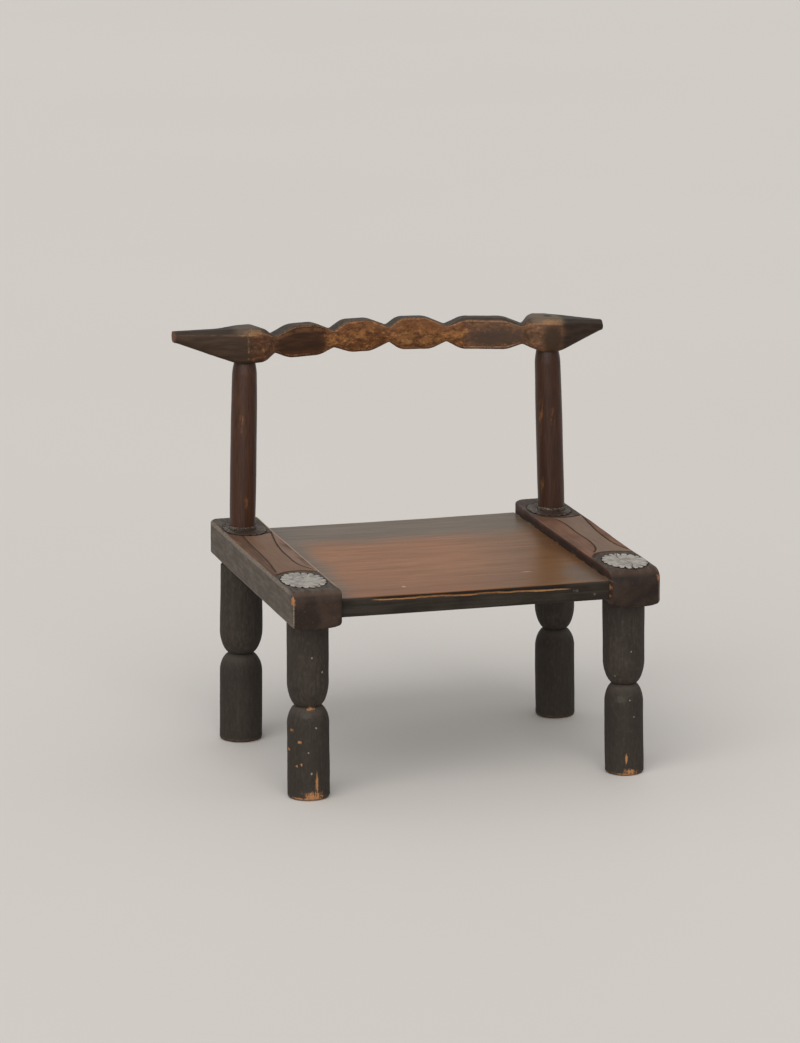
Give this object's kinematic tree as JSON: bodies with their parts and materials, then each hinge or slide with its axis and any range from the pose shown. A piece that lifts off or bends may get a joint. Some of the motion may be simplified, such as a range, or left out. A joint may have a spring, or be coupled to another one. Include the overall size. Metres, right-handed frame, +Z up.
{
  "type": "low wooden chair",
  "caption": "Low carved wooden chair with drum legs, thick side rails, a plank seat, round back posts, a bowed lobed crest rail with horned ends, and toothed tin plates.",
  "frame": {"origin": "middle of the chair's box on the floor under the feet", "axes": "+X to the right seen from the front, along the crest rail; the front faces -Y; +Z up"},
  "size_m": [0.608, 0.45, 0.5626],
  "materials": {
    "seat_wood": "satin, worn, grey-brown margins",
    "rail_wood": "satin, dark patina, worn edges",
    "leg_wood": "matte, blackened, chipped",
    "post_wood": "satin, handled",
    "crest_wood": "satin, golden wear on the lobes",
    "plate_tin": "dull, hammered, scratched",
    "collar_tin": "dark patina with bright worn tips"
  },
  "bodies": {
    "root": {"seat_board": "seat_wood", "left_rail": "rail_wood", "right_rail": "rail_wood", "front_left_leg": "leg_wood", "front_right_leg": "leg_wood", "rear_left_leg": "leg_wood", "rear_right_leg": "leg_wood", "left_back_post": "post_wood", "right_back_post": "post_wood", "crest_rail": "crest_wood", "front_left_plate": "plate_tin", "front_right_plate": "plate_tin", "rear_left_collar": "collar_tin", "rear_right_collar": "collar_tin"}
  },
  "joints": []
}
